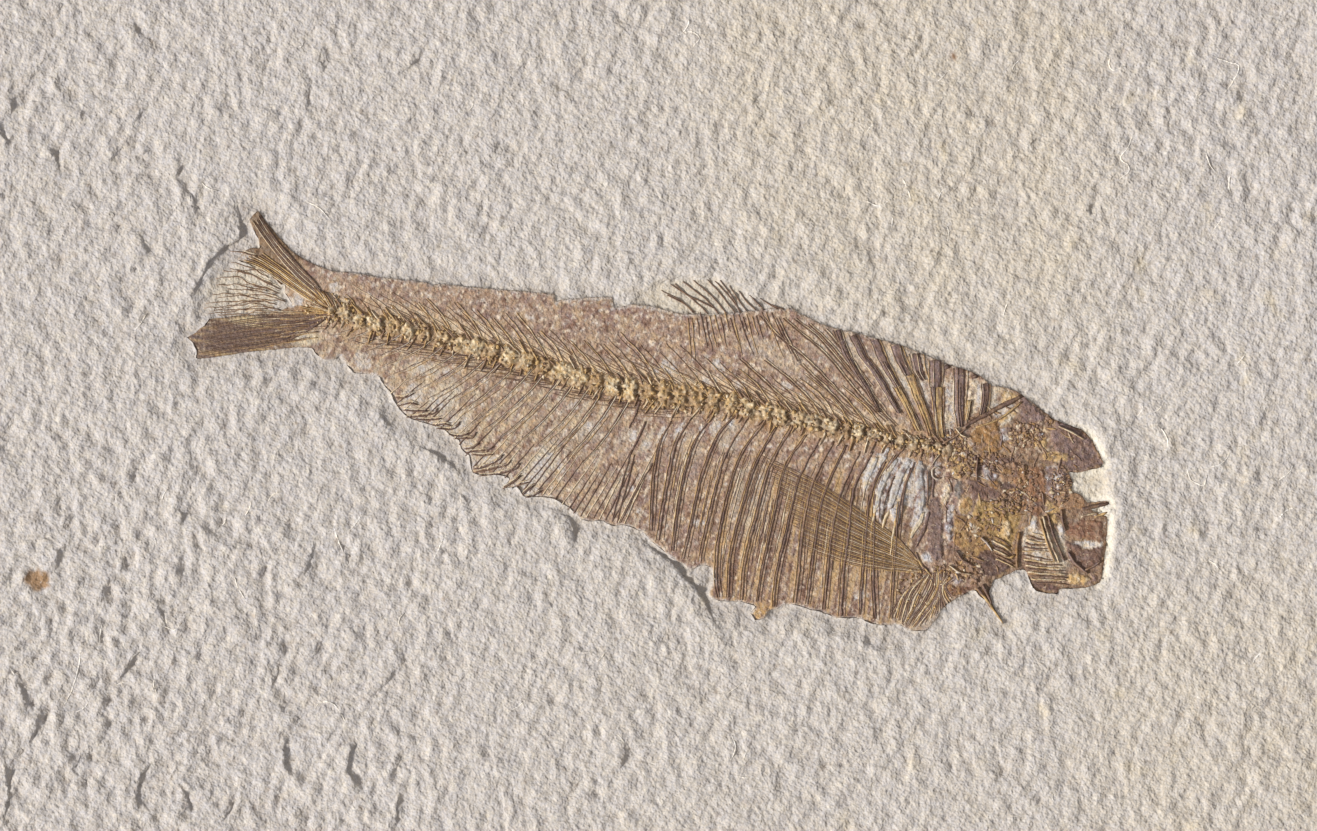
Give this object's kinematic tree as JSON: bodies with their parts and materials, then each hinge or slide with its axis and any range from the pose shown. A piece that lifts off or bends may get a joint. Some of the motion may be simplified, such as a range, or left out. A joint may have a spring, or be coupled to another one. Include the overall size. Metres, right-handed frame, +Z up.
{
  "type": "fossil fish slab",
  "caption": "Flat slab of pale split limestone with a complete fossil fish lying in a shallow hollow of its upper face, its backbone, ribs, fins and skull in low relief.",
  "frame": {"origin": "middle of the flat underside that the slab lies on", "axes": "+X along the slab's length towards the fish's head, +Y across the slab towards the fish's back, +Z up out of the split face that shows the fossil"},
  "size_m": [0.212, 0.14, 0.0144],
  "materials": {
    "limestone": "dry split limestone, pale grey to beige, fine matt grain",
    "fossil_bone": "mineralised bone and skin, brown with golden bones, slightly waxy"
  },
  "bodies": {
    "root": {"matrix_slab": "limestone", "fossil_fish": "fossil_bone"}
  },
  "joints": []
}
